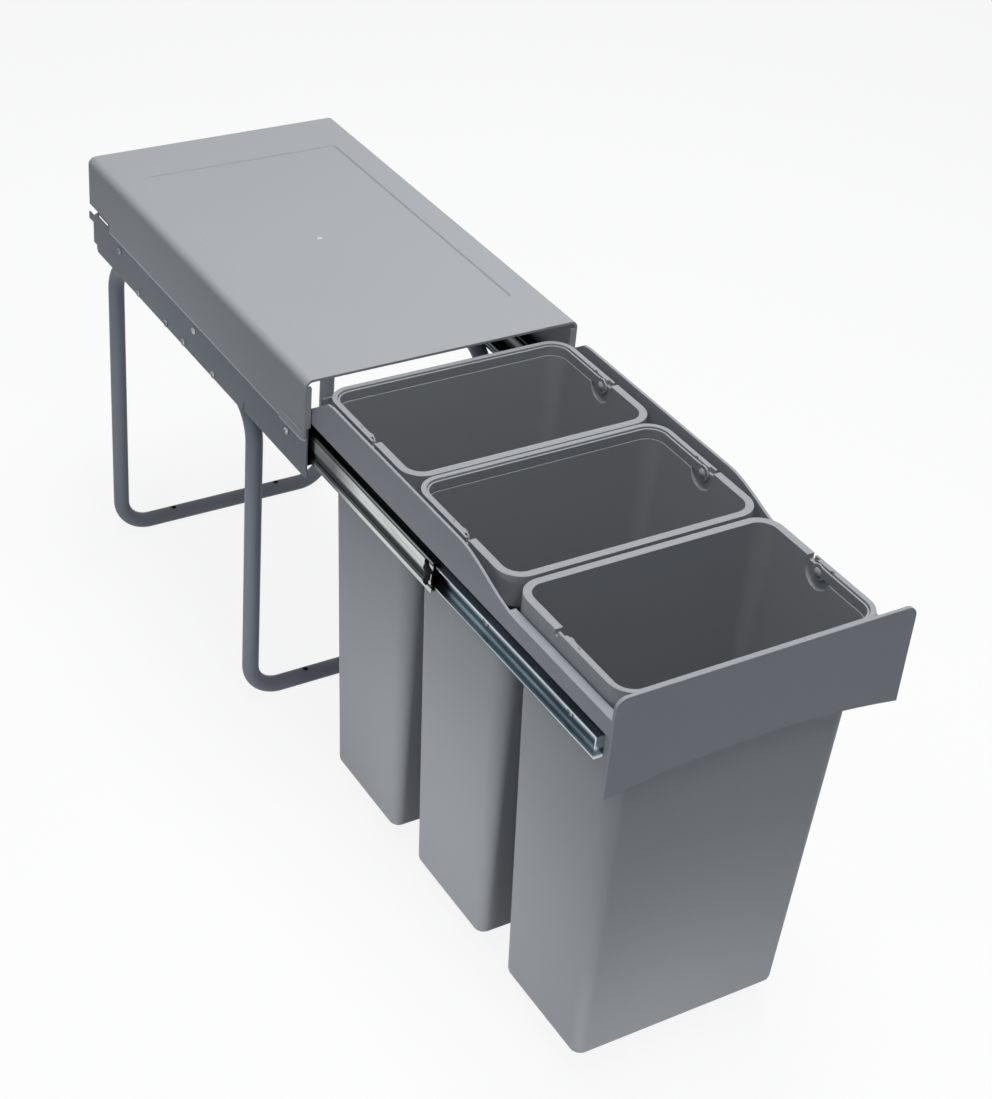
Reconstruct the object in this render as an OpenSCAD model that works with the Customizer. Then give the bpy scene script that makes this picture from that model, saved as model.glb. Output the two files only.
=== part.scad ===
// Pull-out waste unit for a narrow base cabinet, drawn fully pulled out.
// The front faces -Y and the carriage runs out along -Y.
// The origin is the centre of the four floor screw holes, at floor level.

/* [Overall] */
// Height from the cabinet floor to the top of the cover
unit_h = 397; // [385:1:410]

/* [Cover] */
// Width over the cover's side skirts
cover_w = 252; // [250:0.5:258]
// Length of the cover, rear to front
cover_len = 438; // [436:1:450]
// Wall of the moulded cover
cover_wall = 2.5; // [2:0.1:3]
// Radius along the two long top edges
cover_edge_r = 7; // [5:0.5:12]
// Height of the side skirts
skirt_h = 55; // [50:1:60]
// How much shorter the skirts are above the rear hooks
skirt_cut_h = 9; // [6:0.5:10]
// Length of that shorter stretch
skirt_cut_len = 46; // [40:1:60]
// Depth of the shallow field in the top
field_depth = 1.4; // [0.5:0.1:1.5]
// Distance of the field from the long edges
field_side = 29; // [20:1:45]
// Distance of the field from the front and rear edges
field_end = 57; // [40:1:80]
// Corner radius of the field
field_r = 5; // [3:0.5:12]
// Thickness of the skirts' returns at the front, along the cover
front_lip_t = 3; // [2:0.5:5]
// Length of the raised catch at the front of a skirt
catch_len = 42; // [30:1:60]
// Height of the raised catch
catch_h = 8; // [6:0.5:12]
// How far the catch stands out
catch_out = 1.2; // [0.5:0.1:1.6]
// Thickness of the ribs that stand on the side rails
rest_rib_t = 3; // [2:0.5:5]

/* [Side rails] */
// Sheet steel of the side rails
rail_steel = 1.5; // [1.2:0.1:1.8]
// Height of a side rail
rail_h = 47; // [46:0.5:50]
// Height of the stiffening strip along the front of the lower edge
strip_h = 8; // [5:0.5:9]
// Length of that strip
strip_len = 116; // [80:1:118]
// How far the strip is set inwards
strip_in = 0.7; // [0.4:0.1:0.9]
// Length of the hook that stands out behind the rail
hook_len = 10; // [6:0.5:14]
// Height of the hook
hook_h = 7; // [5:0.5:9]
// Length of the slot above the hook
slot_len = 24; // [16:1:26]
// Height of that slot
slot_h = 3; // [2:0.5:3.5]

/* [Runners] */
// Height of the outer runner
runner_h = 35; // [34.5:0.1:36]
// Depth of the nested runners, from rail to carriage
runner_depth = 12; // [12:0.1:12.4]
// Sheet steel of the runners
runner_steel = 1.2; // [1:0.05:1.25]
// Length of the outer runner
outer_len = 390; // [380:1:400]
// Length of the middle runner
middle_len = 372; // [360:1:380]
// Length of the inner runner
inner_len = 372; // [360:1:380]
// Diameter of the runner balls
ball_d = 2.4; // [2.2:0.05:2.5]
// Gap between a ball and its races
ball_gap = 0.2; // [0.15:0.01:0.25]
// Balls in each row
ball_count = 7; // [4:1:9]
// Length of the cage between the outer and middle runners
outer_cage_len = 150; // [120:1:156]
// Length of the cage between the middle and inner runners
inner_cage_len = 130; // [110:1:136]
// Sheet of the ball cages
cage_sheet = 0.6; // [0.5:0.05:0.65]

/* [Legs] */
// Diameter of the leg tube
tube_d = 15; // [14:0.1:15.5]
// Wall of the leg tube
tube_wall = 1.2; // [1:0.1:1.8]
// Distance between the two legs along the unit
leg_pitch = 296; // [286:1:306]
// Distance between the floor screw holes across the unit
floor_hole_pitch = 115; // [90:1:130]
// Diameter of the floor screw holes
floor_hole_d = 5.5; // [4:0.1:6.5]
// Centre line radius of the lower bends
low_bend_r = 30; // [22:1:38]
// Centre line radius of the upper bends
top_bend_r = 35; // [26:1:45]
// Distance between the two screws that hold a leg to a rail
leg_screw_pitch = 61; // [50:1:64]

/* [Carriage] */
// Gap between the carriage's high walls and the rails
wall_gap = 2.5; // [2:0.1:3.5]
// Wall of the moulded carriage
carriage_wall = 2.5; // [2:0.1:2.8]
// Height of the high side walls over the bin ledge
high_wall_h = 30.5; // [26:0.5:33]
// Height of the low side walls, beside the front bin
low_wall_h = 12.3; // [9:0.1:14]
// Height of the front wall, behind the panel
front_wall_h = 23; // [16:1:26]
// Depth of the carriage under the bin ledge
carriage_drop = 32; // [28:0.5:36]
// Length of the curve between the high and low walls
curve_len = 80; // [50:1:100]
// Length of the low walls
low_wall_len = 129; // [110:1:140]

/* [Front panel] */
// Width of the front panel
panel_w = 250; // [246:1:252]
// Thickness of the front panel
panel_t = 3; // [2.5:0.1:3.5]
// Height of the front panel at its ends
panel_h = 84; // [76:1:92]
// How far the lower edge arches up at the middle
panel_arch = 11.5; // [6:0.5:14]
// Radius of the panel's top corners
panel_r = 9; // [5:0.5:14]
// Gap between the closed panel and the cover
panel_gap = 4; // [4:0.1:6]

/* [Bins] */
// Gap between a bin's rim and the carriage's side walls
rim_side_gap = 6.05; // [5.7:0.05:7]
// Depth over a bin's rim
bin_d = 140.3; // [138:0.1:142]
// Height of a bin
bin_h = 365; // [340:1:370]
// Wall of a bin
bin_wall = 2.2; // [1.8:0.1:2.6]
// Depth of the skirt under the rim
rim_skirt_h = 26; // [22:1:27]
// Wall of that skirt
rim_skirt_t = 2.2; // [1.6:0.1:2.3]
// Corner radius of the rim
rim_r = 20; // [16:0.5:26]
// Corner radius of a bin at its floor
bin_low_r = 9; // [7.5:0.5:15]
// How much a bin narrows from its rim to its floor, on each side
bin_draft = 13; // [8:0.5:18]
// Radius between a bin's walls and its floor
bin_floor_r = 5; // [4:0.5:12]
// Gap between the rear and middle bins
bin_gap_rear = 1.2; // [0.8:0.1:2]
// Gap between the middle and front bins
bin_gap_front = 3.6; // [3:0.1:5]
// How far the rear bin stands clear of the cover when drawn out
out_clear = 1; // [1:0.5:5]

/* [Handles] */
// Thickness of the bail handle's strip
bail_t = 1.6; // [1.2:0.1:1.8]
// Height of the strip
bail_h = 8; // [6:0.5:8]
// Radius of the handle's ears
ear_r = 6.8; // [5:0.1:7]
// Diameter of the pivot buttons' shanks
pivot_d = 4; // [3:0.1:5]
// Diameter of the pivot buttons' heads
pivot_head_d = 8; // [6.5:0.1:10]

/* [Hidden] */

// Facets of round faces, and of the children of a hull
round_fn = 64;
blend_fn = 32;
// Overrun of a cut past the face that it opens
over = 1;
// Gap between pressed or moulded pieces that lie together
seat_gap = 0.3;
// Radial clearance of pins and screws in their holes
pin_fit = 0.05;

// Colours of the moulded, painted and plated pieces
plastic_grey = [0.55, 0.56, 0.59];
bin_grey = [0.50, 0.51, 0.54];
paint_grey = [0.45, 0.47, 0.50];
zinc = [0.70, 0.75, 0.77];
bright_steel = [0.82, 0.83, 0.85];
stop_black = [0.08, 0.08, 0.09];

// Cover, with its rear edge a short way behind the rear leg
cover_rear_over = 30;
cover_rear_y = leg_pitch / 2 + cover_rear_over;
cover_front_y = cover_rear_y - cover_len;
skirt_z = unit_h - skirt_h;
catch_end = 2;
rest_rib_count = 5;
rest_rib_w = 1.8;
rest_rib_h = 14;
rest_rib_end = 62;
lip_clear = 0.8;

// Side rails, just inside the skirts
rail_up = 10.5;
rail_out = cover_w / 2 - cover_wall - seat_gap;
rail_in = rail_out - rail_steel;
rail_top_z = skirt_z + rail_up;
rail_low_z = rail_top_z - rail_h;
rail_rear_y = cover_rear_y - over;
rail_front_y = cover_front_y;
shoulder_drop = 5.5;
shoulder_len = 11;
hook_drop = 13.5;
rail_end_h = 27;
rail_notch = 7;
rail_notch_h = 3.5;
rail_corner_r = 3;

// Runner section, measured from the rail inwards and from its middle upwards
runner_top_gap = 0.5;
runner_z = rail_top_z - runner_h / 2 - runner_top_gap;
ball_r = ball_d / 2;
race_lip = 0.8;
race_lip_h = 1.1;
race_ridge = 0.7;
ridge_w = 1;
cage_clear = 0.3;
outer_in_v = runner_h / 2 - runner_steel;
outer_row_v = outer_in_v - ball_gap - ball_r;
middle_out_v = outer_row_v - ball_r - ball_gap;
middle_in_v = middle_out_v - runner_steel;
inner_row_v = middle_in_v - ball_gap - ball_r;
inner_out_v = inner_row_v - ball_r - ball_gap;
outer_cage_u = runner_steel + cage_clear;
middle_u = outer_cage_u + cage_sheet + cage_clear;
inner_cage_u = middle_u + runner_steel + cage_clear;
inner_u = inner_cage_u + cage_sheet + cage_clear;
outer_row_u = middle_u + ridge_w + ball_gap + 2 * ball_r;
inner_row_u = inner_u + ridge_w + ball_gap + ball_r + cage_clear;
outer_end_u = outer_row_u + 2 * ball_r + race_lip + cage_clear;
middle_end_u = inner_row_u + ball_r + ball_gap + 2 * cage_clear + race_lip;

// Runners along the unit, closed, behind the cover's front edge
outer_back = 2;
middle_back = 21;
inner_back = 20;
outer_front_y = cover_front_y + outer_back;
groove_deep = 0.6;
groove_w = 5;
groove_low = 2;
groove_end = 4.5;
stop_len = 7;
stop_h = 11;
stop_out = 0.5;
stop_r = 2;

// Legs, under the outer runners and beside the rails
leg_x = rail_in - seat_gap - tube_d / 2;
leg_run_z = runner_z - runner_h / 2 - runner_top_gap - tube_d / 2;
leg_y = leg_pitch / 2;
rear_leg_screw = 74;
front_leg_screw = 63;
leg_end = 12;

// Screws
screw_d = 4;
screw_head_d = 7;
screw_head_h = 1.6;
leg_screw_len = 6;
rail_screw_shares = [0.086, 0.544, 0.957];
rail_screw_drop = 2.9;
rail_screw_z = runner_z - rail_screw_drop;
runner_screw_shares = [0.107, 0.41, 0.89];

// Walls of the carriage, between the runners and beside the bins' rims
carriage_out = rail_in - wall_gap;
carriage_in = carriage_out - carriage_wall;
lower_out = rail_in - runner_depth;
lower_in = lower_out - carriage_wall;

// Bins, on the carriage's ledge
bin_w = 2 * (carriage_in - rim_side_gap);
rim_drop = 12;
rim_z = unit_h - rim_drop;
rim_over = 4.25;
rim_flange = 2.5;
body_w = bin_w - 2 * rim_over;
body_d = bin_d - 2 * rim_over;
body_r = rim_r - rim_over;
floor_steps = 3;
skin = 0.01;
pocket_t = bail_t + 2 * seat_gap;
pivot_drop = 7.3;
bail_under = 2.2;
pocket_floor = pivot_drop + bail_under + seat_gap;
collar_h = pocket_floor + bin_wall;
recess_r = 13.5;
boss_wall = 1.8;
notch_drop = 4.5;
notch_w = 3.2;
hollow_len = 9;
hollow_deep = 1.2;
pivot_head_h = 2;

// Carriage, from its front face backwards
front_wall = 3;
front_bin_gap = 6.2;
rear_bin_gap = 1.5;
ledge_z = rim_z - rim_skirt_h - seat_gap;
carriage_low_z = ledge_z - carriage_drop;
front_flange_drop = 20;
rear_slope_len = 27;
rear_slope_drop = 20;
rear_round_len = 8;
rear_round_drop = 1.4;
rear_wall_h = 18;
bar_t = 3;
bar_h = 18;
curve_steps = 12;
shelf_gap = 0.6;
shelf_past = 12;
bin_stack = 3 * bin_d + bin_gap_rear + bin_gap_front;
carriage_len = front_wall + front_bin_gap + bin_stack + rear_bin_gap + carriage_wall;
travel = front_wall + front_bin_gap + bin_stack + out_clear - panel_gap;
carriage_front_y = cover_front_y - panel_gap - travel;
carriage_rear_y = carriage_front_y + carriage_len;
curve_front_y = carriage_front_y + low_wall_len;
curve_rear_y = curve_front_y + curve_len;
front_bin_y = carriage_front_y + front_wall + front_bin_gap + bin_d / 2;
middle_bin_y = front_bin_y + bin_d + bin_gap_front;
rear_bin_y = middle_bin_y + bin_d + bin_gap_rear;
panel_screw_side = 21.7;
panel_screw_x = lower_out - panel_screw_side;
panel_screw_in = 12;
panel_screw_deep = 2;

// A profile drawn across the unit, drawn out from front_y to rear_y
module along(front_y, rear_y)
    translate([0, rear_y, 0])
        rotate([90, 0, 0])
            linear_extrude(height = rear_y - front_y)
                children();

// A profile drawn from the side, drawn out from low_x to high_x
module across(low_x, high_x)
    translate([low_x, 0, 0])
        rotate([90, 0, 90])
            linear_extrude(height = high_x - low_x)
                children();

// A round bar across the unit
module bar_x(low_x, high_x, y, z, r)
    translate([low_x, y, z])
        rotate([0, 90, 0])
            cylinder(h = high_x - low_x, r = r, $fn = round_fn);

// Children as drawn for the right side, or mirrored to the left
module on_side(side) {
    if (side > 0) children();
    else mirror([1, 0, 0]) children();
}

// A rectangle about the origin with true round corners
module round_rect(w, d, r) {
    square([w - 2 * r, d], center = true);
    square([w, d - 2 * r], center = true);
    for (x = [-1, 1], y = [-1, 1])
        translate([x * (w / 2 - r), y * (d / 2 - r)])
            circle(r, $fn = round_fn);
}

// A rectangle from two corners
module box_2d(low, high)
    translate(low)
        square([high[0] - low[0], high[1] - low[1]]);

// Cover: a moulded hood with round long edges, open at both ends and below
module cover_outline(inset) {
    half = cover_w / 2 - inset;
    top = unit_h - inset;
    r = cover_edge_r - inset;
    box_2d([-half, skirt_z - over * sign(inset)], [half, top - r]);
    box_2d([-half + r, top - r], [half - r, top]);
    for (s = [-1, 1])
        translate([s * (half - r), top - r])
            circle(r, $fn = round_fn);
}

module cover() {
    lip_in = carriage_out + lip_clear;
    rib_out = cover_w / 2 - cover_wall;
    rib_step = (cover_len - 2 * rest_rib_end) / (rest_rib_count - 1);
    color(plastic_grey) {
        difference() {
            along(cover_front_y, cover_rear_y)
                difference() {
                    cover_outline(0);
                    cover_outline(cover_wall);
                }
            // The shallow field in the top
            translate([0, (cover_front_y + cover_rear_y) / 2, unit_h - field_depth])
                linear_extrude(height = field_depth + over)
                    round_rect(cover_w - 2 * field_side, cover_len - 2 * field_end, field_r);
            // The skirts are shorter above the rails' rear hooks
            translate([-cover_w / 2 - over, cover_rear_y - skirt_cut_len, skirt_z - over])
                cube([cover_w + 2 * over, skirt_cut_len + over, skirt_cut_h + over]);
        }
        for (s = [-1, 1])
            on_side(s) {
                // The front edge of a skirt returns inwards
                along(cover_front_y, cover_front_y + front_lip_t)
                    box_2d([lip_in, rail_top_z + seat_gap], [rib_out + skin, unit_h - cover_edge_r]);
                // The raised catch at the front
                across(cover_w / 2 - skin, cover_w / 2 + catch_out)
                    box_2d([cover_front_y + catch_end, skirt_z], [cover_front_y + catch_len, skirt_z + catch_h]);
                // Ribs that stand on the rail
                for (k = [0:rest_rib_count - 1])
                    translate([rib_out - rest_rib_w, cover_front_y + rest_rib_end + k * rib_step - rest_rib_t / 2,
                               rail_top_z + seat_gap])
                        cube([rest_rib_w + skin, rest_rib_t, rest_rib_h]);
            }
    }
}

// Side rail: a steel plate with a hook and a slot at the rear
module rail_plate() {
    shoulder_z = rail_top_z - shoulder_drop;
    hook_top_z = rail_top_z - hook_drop;
    notch_z = rail_top_z - hook_drop - rail_end_h;
    top_rear_y = cover_rear_y - skirt_cut_len - catch_end;
    difference() {
        polygon([
            [rail_front_y, rail_low_z + rail_corner_r],
            [rail_front_y, rail_top_z],
            [top_rear_y, rail_top_z],
            [top_rear_y + shoulder_drop, shoulder_z],
            [rail_rear_y - shoulder_len, shoulder_z],
            [rail_rear_y, hook_top_z],
            [rail_rear_y + hook_len, hook_top_z],
            [rail_rear_y + hook_len, hook_top_z - hook_h],
            [rail_rear_y, hook_top_z - hook_h],
            [rail_rear_y, notch_z],
            [rail_rear_y - rail_notch, notch_z],
            [rail_rear_y - rail_notch, notch_z - rail_notch_h],
            [rail_rear_y - rail_notch - rail_corner_r, rail_low_z],
            [rail_front_y + rail_corner_r, rail_low_z]
        ]);
        translate([rail_rear_y - shoulder_len - slot_len, shoulder_z - slot_h - rail_steel])
            square([slot_len, slot_h]);
    }
}

module side_rail(side) {
    strip_z = rail_low_z + strip_h;
    color(paint_grey)
        on_side(side)
            difference() {
                union() {
                    across(rail_in, rail_out)
                        difference() {
                            rail_plate();
                            box_2d([rail_front_y - over, rail_low_z - over], [rail_front_y + strip_len, strip_z]);
                        }
                    // The strip along the lower edge, set inwards at a fold
                    across(rail_in - strip_in, rail_out - strip_in)
                        intersection() {
                            rail_plate();
                            box_2d([rail_front_y - over, rail_low_z - over], [rail_front_y + strip_len, strip_z]);
                        }
                }
                for (y = rail_screw_ys())
                    bar_x(rail_in - over, rail_out + over, y, rail_screw_z, screw_d / 2 + pin_fit);
                for (y = leg_screw_ys())
                    bar_x(rail_in - over, rail_out + over, y, leg_run_z, screw_d / 2 + pin_fit);
            }
}

function rail_screw_ys() = [for (s = rail_screw_shares) outer_front_y + outer_len * s];

function leg_screw_ys() = [
    leg_y - rear_leg_screw, leg_y - rear_leg_screw - leg_screw_pitch,
    -leg_y + front_leg_screw, -leg_y + front_leg_screw + leg_screw_pitch
];

// Legs: bent tube, up one side, along the inside of the rail at the top
module tube_ring()
    difference() {
        circle(d = tube_d, $fn = round_fn);
        circle(d = tube_d - 2 * tube_wall, $fn = round_fn);
    }

module tube_bend(r)
    rotate_extrude(angle = 90, $fn = round_fn)
        translate([r, 0])
            tube_ring();

// A quarter turn from the upright into the run along the floor
module low_bend()
    translate([leg_x - low_bend_r, 0, tube_d / 2 + low_bend_r])
        rotate([90, 90, 0])
            tube_bend(low_bend_r);

// A quarter turn from the upright into the run along the rail, which lies towards -Y
module top_bend()
    translate([leg_x, -top_bend_r, leg_run_z - top_bend_r])
        rotate([90, 0, 90])
            tube_bend(top_bend_r);

module leg(first_screw) {
    run_len = first_screw + leg_screw_pitch + leg_end - top_bend_r;
    floor_len = 2 * (leg_x - low_bend_r);
    up_low_z = tube_d / 2 + low_bend_r;
    up_high_z = leg_run_z - top_bend_r;
    difference() {
        union() {
            translate([-floor_len / 2, 0, tube_d / 2])
                rotate([0, 90, 0])
                    linear_extrude(height = floor_len)
                        tube_ring();
            for (s = [-1, 1])
                on_side(s) {
                    low_bend();
                    translate([leg_x, 0, up_low_z])
                        linear_extrude(height = up_high_z - up_low_z)
                            tube_ring();
                    top_bend();
                    translate([leg_x, -top_bend_r, leg_run_z])
                        rotate([90, 0, 0])
                            linear_extrude(height = run_len)
                                tube_ring();
                }
        }
        for (s = [-1, 1]) {
            // Holes for the floor screws, through both walls
            translate([s * floor_hole_pitch / 2, 0, -over])
                cylinder(h = tube_d + 2 * over, d = floor_hole_d, $fn = round_fn);
            // Holes for the screws through the rail, in the outer wall
            on_side(s)
                for (k = [0, 1])
                    bar_x(leg_x, leg_x + tube_d, -first_screw - k * leg_screw_pitch, leg_run_z,
                          screw_d / 2 + pin_fit);
        }
    }
}

module rear_leg()
    color(paint_grey)
        translate([0, leg_y, 0])
            leg(rear_leg_screw);

module front_leg()
    color(paint_grey)
        translate([0, -leg_y, 0])
            mirror([0, 1, 0])
                leg(front_leg_screw);

// Runner sections: u is the distance in from the rail, v the height from the middle.
// The points are those of the upper half, which the lower half mirrors.
module section(points)
    translate([rail_in, runner_z])
        polygon(concat(
            [for (p = points) [-p[0], p[1]]],
            [for (k = [len(points) - 1:-1:0]) [-points[k][0], -points[k][1]]]
        ));

module outer_section()
    section([
        [0, runner_h / 2],
        [outer_end_u, runner_h / 2],
        [outer_end_u, outer_in_v - race_lip_h],
        [outer_end_u - race_lip, outer_in_v - race_lip_h],
        [outer_end_u - race_lip, outer_in_v],
        [runner_steel, outer_in_v]
    ]);

module middle_section()
    section([
        [middle_u, middle_out_v + race_ridge],
        [middle_u + ridge_w, middle_out_v + race_ridge],
        [middle_u + ridge_w, middle_out_v],
        [middle_end_u, middle_out_v],
        [middle_end_u, middle_in_v - race_lip_h],
        [middle_end_u - race_lip, middle_in_v - race_lip_h],
        [middle_end_u - race_lip, middle_in_v],
        [middle_u + runner_steel, middle_in_v]
    ]);

module inner_section()
    section([
        [runner_depth, inner_out_v],
        [inner_u + ridge_w, inner_out_v],
        [inner_u + ridge_w, inner_out_v + race_ridge],
        [inner_u, inner_out_v + race_ridge],
        [inner_u, inner_out_v - runner_steel],
        [runner_depth - runner_steel, inner_out_v - runner_steel]
    ]);

module cage_section(web_u, row_u, row_v, flange_end)
    section([
        [web_u, row_v + cage_sheet / 2],
        [row_u + ball_r + flange_end, row_v + cage_sheet / 2],
        [row_u + ball_r + flange_end, row_v - cage_sheet / 2],
        [web_u + cage_sheet, row_v - cage_sheet / 2]
    ]);

// Places along the unit, drawn out: the middle runner goes half way with the carriage
middle_front_y = cover_front_y + middle_back - travel / 2;
inner_front_y = cover_front_y + inner_back - travel;
outer_cage_y = (outer_front_y + middle_front_y + middle_len) / 2;
inner_cage_y = (middle_front_y + inner_front_y + inner_len) / 2;

function row_ys(middle_y, cage_len) = [
    for (k = [0:ball_count - 1]) middle_y + cage_len * ((k + 0.5) / ball_count - 0.5)
];

function runner_screw_ys() = [for (s = runner_screw_shares) inner_front_y + inner_len * s];

module outer_runner(side)
    color(zinc)
        on_side(side)
            difference() {
                along(outer_front_y, outer_front_y + outer_len)
                    outer_section();
                for (y = rail_screw_ys())
                    bar_x(rail_in - runner_steel - over, rail_in + over, y, rail_screw_z, screw_d / 2 + pin_fit);
            }

module middle_runner(side)
    color(bright_steel)
        on_side(side)
            difference() {
                along(middle_front_y, middle_front_y + middle_len)
                    middle_section();
                // The opening in the front end for the stop
                across(rail_in - middle_u - runner_steel - over, rail_in - middle_u + over)
                    box_2d([middle_front_y - over, runner_z - stop_h / 2],
                           [middle_front_y + stop_len, runner_z + stop_h / 2]);
                // The groove along the outer face of the web
                across(rail_in - middle_u - groove_deep, rail_in - middle_u + over)
                    box_2d([middle_front_y + stop_len + groove_end, runner_z - groove_low - groove_w],
                           [middle_front_y + middle_len + over, runner_z - groove_low]);
            }

module inner_runner(side)
    color(zinc)
        on_side(side)
            difference() {
                union() {
                    along(inner_front_y, inner_front_y + inner_len)
                        inner_section();
                    // The plate that closes the front end
                    along(inner_front_y, inner_front_y + runner_steel)
                        box_2d([lower_out, runner_z - inner_out_v], [rail_in - inner_u, runner_z + inner_out_v]);
                }
                for (y = runner_screw_ys())
                    bar_x(lower_out - over, lower_out + runner_steel + over, y, runner_z,
                          screw_d / 2 + pin_fit);
            }

// The moulded stop in the front end of a middle runner
module runner_stop(side)
    color(stop_black)
        on_side(side) {
            across(rail_in - middle_u - runner_steel, rail_in - middle_u + stop_out)
                difference() {
                    box_2d([middle_front_y - stop_out, runner_z - stop_h / 2],
                           [middle_front_y + stop_len, runner_z + stop_h / 2]);
                    translate([middle_front_y + stop_len / 2, runner_z])
                        circle(stop_r, $fn = round_fn);
                }
        }

module ball_cage(side, web_u, row_u, row_v, flange_end, middle_y, cage_len)
    color(bright_steel)
        on_side(side)
            difference() {
                along(middle_y - cage_len / 2, middle_y + cage_len / 2)
                    cage_section(web_u, row_u, row_v, flange_end);
                for (y = row_ys(middle_y, cage_len))
                    translate([rail_in - row_u, y, runner_z - runner_h / 2])
                        cylinder(h = runner_h, r = ball_r + ball_gap, $fn = round_fn);
            }

module ball_rows(side, row_u, row_v, middle_y, cage_len)
    color(bright_steel)
        on_side(side)
            for (y = row_ys(middle_y, cage_len), s = [-1, 1])
                translate([rail_in - row_u, y, runner_z + s * row_v])
                    sphere(ball_r, $fn = blend_fn);

module outer_cage(side)
    ball_cage(side, outer_cage_u, outer_row_u, outer_row_v, race_lip, outer_cage_y, outer_cage_len);

module inner_cage(side)
    ball_cage(side, inner_cage_u, inner_row_u, inner_row_v, cage_clear, inner_cage_y, inner_cage_len);

module outer_balls(side)
    ball_rows(side, outer_row_u, outer_row_v, outer_cage_y, outer_cage_len);

module inner_balls(side)
    ball_rows(side, inner_row_u, inner_row_v, inner_cage_y, inner_cage_len);

// Half of a low dome's profile
module dome(d, h) {
    r = (d * d / 4 + h * h) / (2 * h);
    intersection() {
        square([d / 2, h]);
        translate([0, h - r])
            circle(r, $fn = round_fn);
    }
}

// A screw with a low domed head; its head's underside is at the origin and it points to -X
module screw(len) {
    translate([-len, 0, 0])
        rotate([0, 90, 0])
            cylinder(h = len, d = screw_d, $fn = round_fn);
    rotate([0, 90, 0])
        rotate_extrude($fn = round_fn)
            dome(screw_head_d, screw_head_h);
}

module rail_screws()
    color(bright_steel)
        for (side = [-1, 1])
            on_side(side)
                for (y = rail_screw_ys())
                    translate([rail_out, y, rail_screw_z])
                        screw(rail_steel + runner_steel);

module leg_screws()
    color(bright_steel)
        for (side = [-1, 1])
            on_side(side)
                for (y = leg_screw_ys())
                    translate([rail_out, y, leg_run_z])
                        screw(leg_screw_len);

module runner_screws()
    color(bright_steel)
        for (side = [-1, 1])
            on_side(side)
                for (y = runner_screw_ys())
                    translate([lower_out + runner_steel, y, runner_z])
                        screw(runner_steel + carriage_wall);

function panel_screw_places() = [
    for (x = [-1, 1], z = [carriage_low_z + panel_screw_in, ledge_z + front_wall_h - panel_screw_in])
        [x * panel_screw_x, z]
];

module panel_screws()
    color(bright_steel)
        for (p = panel_screw_places())
            translate([p[0], carriage_front_y + front_wall, p[1]])
                rotate([0, 0, 90])
                    screw(front_wall + panel_screw_deep);

// Carriage: a moulded frame whose ledge carries the bins' rims
function curve_share(t) = t * t * (3 - 2 * t);

function wall_top_points() = [
    [carriage_front_y, ledge_z + low_wall_h],
    for (k = [0:curve_steps])
        [curve_front_y + curve_len * k / curve_steps,
         ledge_z + low_wall_h + (high_wall_h - low_wall_h) * curve_share(k / curve_steps)],
    [carriage_rear_y - rear_slope_len - rear_round_len, ledge_z + high_wall_h],
    [carriage_rear_y - rear_slope_len, ledge_z + high_wall_h - rear_round_drop],
    [carriage_rear_y, ledge_z + high_wall_h - rear_slope_drop]
];

module carriage() {
    ledge_low_z = ledge_z - carriage_wall;
    color(plastic_grey)
        difference() {
            union() {
                for (s = [-1, 1])
                    on_side(s) {
                        // Side wall over the ledge, high at the rear and low at the front
                        across(carriage_in, carriage_out)
                            polygon(concat([[carriage_front_y, ledge_low_z]], wall_top_points(),
                                           [[carriage_rear_y, ledge_low_z]]));
                        // The shelf on top of the low wall, up to the rim of the front bin
                        across(bin_w / 2 + shelf_gap, carriage_out)
                            box_2d([carriage_front_y, ledge_z + low_wall_h - carriage_wall],
                                   [curve_front_y + shelf_past, ledge_z + low_wall_h]);
                        // The ledge that carries the rims
                        across(lower_in, carriage_out)
                            box_2d([carriage_front_y, ledge_low_z], [carriage_rear_y, ledge_z]);
                        // Side wall under the ledge, which carries the inner runner
                        across(lower_in, lower_out)
                            box_2d([carriage_front_y, carriage_low_z], [carriage_rear_y, ledge_z]);
                    }
                // Front wall, behind the panel
                along(carriage_front_y, carriage_front_y + front_wall) {
                    box_2d([-carriage_out, ledge_z - front_flange_drop],
                           [carriage_out, ledge_z + front_wall_h]);
                    box_2d([-lower_out, carriage_low_z], [lower_out, ledge_z]);
                }
                // Rear wall
                along(carriage_rear_y - carriage_wall, carriage_rear_y)
                    box_2d([-lower_out, carriage_low_z], [lower_out, ledge_z + rear_wall_h]);
                // Bars between the bins
                for (y = [front_bin_y + (bin_d + bin_gap_front) / 2, middle_bin_y + (bin_d + bin_gap_rear) / 2])
                    translate([-lower_out, y - bar_t / 2, carriage_low_z])
                        cube([2 * lower_out, bar_t, bar_h]);
            }
            for (s = [-1, 1])
                on_side(s)
                    for (y = runner_screw_ys())
                        bar_x(lower_in - over, lower_out + over, y, runner_z, screw_d / 2 + pin_fit);
            for (p = panel_screw_places())
                translate([p[0], carriage_front_y - over, p[1]])
                    rotate([-90, 0, 0])
                        cylinder(h = front_wall + 2 * over, r = screw_d / 2 + pin_fit, $fn = round_fn);
        }
}

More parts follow.
